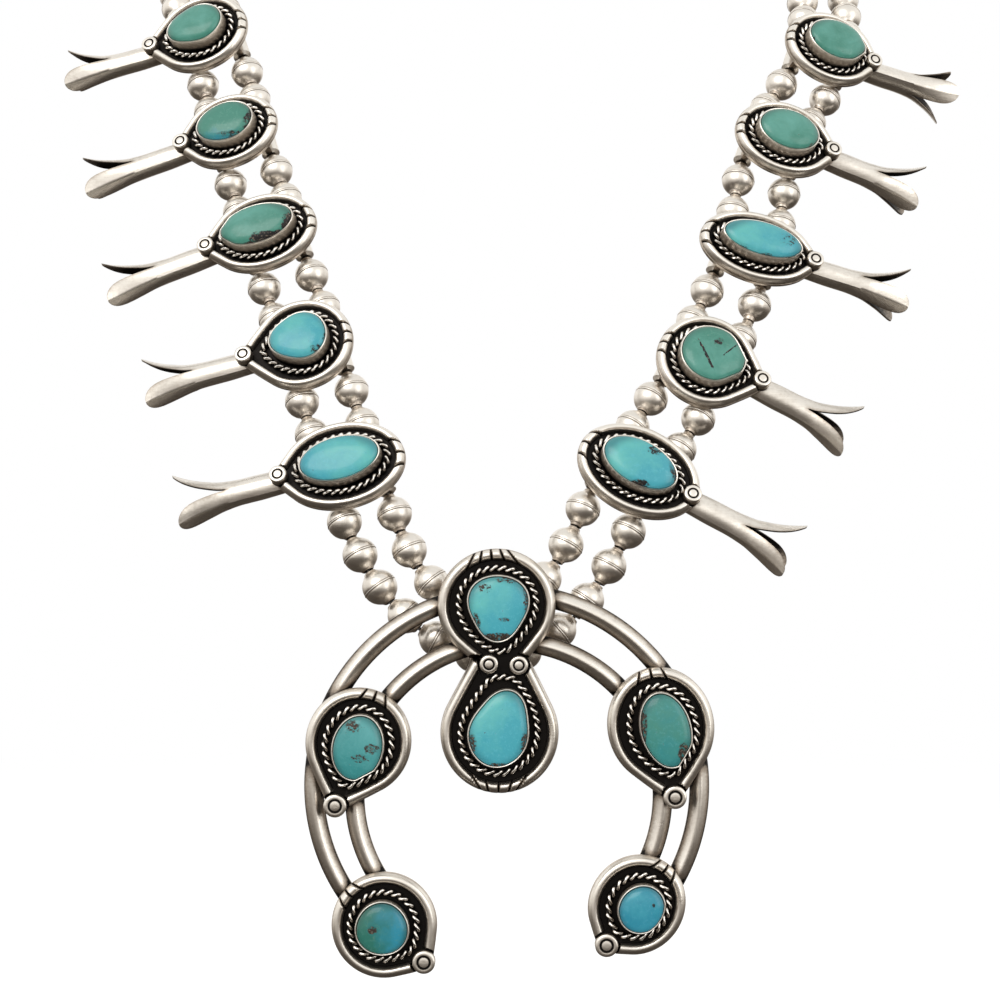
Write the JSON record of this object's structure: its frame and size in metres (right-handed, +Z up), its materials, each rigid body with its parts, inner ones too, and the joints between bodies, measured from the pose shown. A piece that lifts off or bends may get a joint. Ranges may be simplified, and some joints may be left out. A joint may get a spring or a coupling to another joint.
{
  "type": "squash blossom necklace",
  "caption": "Silver squash blossom necklace: turquoise-set blossoms on two strings of round beads, with a horseshoe drop, in the form it has when worn.",
  "frame": {"origin": "middle of the clasp's underside, where the necklace rests on the nape", "axes": "+X to the wearer's left, which is the right of a front view, -Y to the front, +Z up; the drop hangs lowest in -Z"},
  "size_m": [0.2142, 0.1934, 0.2854],
  "materials": {
    "silver": "antiqued silver, dark in the recesses",
    "turquoise": "polished turquoise with brown matrix",
    "thread": "waxed stringing thread"
  },
  "bodies": {
    "root": {"naja": "silver", "beads_left_inner": "silver", "beads_left_outer": "silver", "beads_right_inner": "silver", "beads_right_outer": "silver", "thread_inner": "thread", "thread_outer": "thread", "clasp": "silver", "blossom_left_1": "silver", "blossom_left_2": "silver", "blossom_left_3": "silver", "blossom_left_4": "silver", "blossom_left_5": "silver", "blossom_right_1": "silver", "blossom_right_2": "silver", "blossom_right_3": "silver", "blossom_right_4": "silver", "blossom_right_5": "silver", "stone_left_1": "turquoise", "stone_left_2": "turquoise", "stone_left_3": "turquoise", "stone_left_4": "turquoise", "stone_left_5": "turquoise", "stone_right_1": "turquoise", "stone_right_2": "turquoise", "stone_right_3": "turquoise", "stone_right_4": "turquoise", "stone_right_5": "turquoise", "stone_drop_top": "turquoise", "stone_drop_low": "turquoise", "stone_side_left": "turquoise", "stone_side_right": "turquoise", "stone_end_left": "turquoise", "stone_end_right": "turquoise"}
  },
  "joints": []
}
